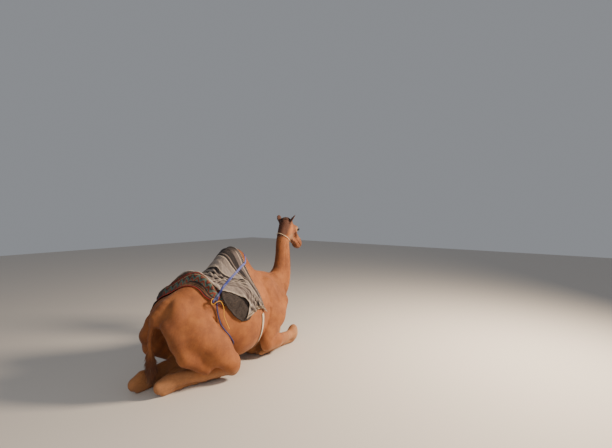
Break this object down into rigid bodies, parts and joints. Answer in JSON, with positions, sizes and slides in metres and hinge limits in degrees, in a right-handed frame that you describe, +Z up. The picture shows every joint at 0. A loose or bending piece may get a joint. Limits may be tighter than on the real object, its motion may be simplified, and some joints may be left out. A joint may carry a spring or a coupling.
{
  "type": "lying dromedary camel model",
  "caption": "Life-size still model of a one-humped camel lying with its legs folded, wearing blankets over its hump, a strap, a flank rope and a girth.",
  "frame": {"origin": "middle of the outline's box on the floor", "axes": "+X the way the camel faces, +Y its left side, +Z up"},
  "size_m": [2.3393, 0.8979, 1.5734],
  "materials": {
    "coat": "short matt hair",
    "eye": "wet and dark",
    "kilim": "woven wool",
    "dark_wool": "felted wool",
    "striped_wool": "woven wool",
    "strap_webbing": "woven band",
    "blue_rope": "twisted rope",
    "girth_webbing": "woven band",
    "yellow_cord": "twisted cord",
    "halter_cord": "twisted cord"
  },
  "bodies": {
    "root": {"thigh_left": "coat", "upper_arm_left": "coat", "thigh_right": "coat", "upper_arm_right": "coat", "trunk": "coat", "neck": "coat", "eye_left": "eye", "eye_right": "eye", "head": "coat", "ear_left": "coat", "ear_right": "coat", "tail": "coat", "forearm_left": "coat", "fore_foot_left": "coat", "shank_left": "coat", "hind_foot_left": "coat", "forearm_right": "coat", "fore_foot_right": "coat", "shank_right": "coat", "hind_foot_right": "coat", "kilim_rug": "kilim", "wool_pad": "dark_wool", "striped_blanket": "striped_wool", "saddle_strap": "strap_webbing", "flank_rope": "blue_rope", "knot_right": "blue_rope", "knot_left": "blue_rope", "girth": "girth_webbing", "yellow_cord": "yellow_cord", "halter_cord": "halter_cord", "saddle_roll": "dark_wool"}
  },
  "joints": []
}
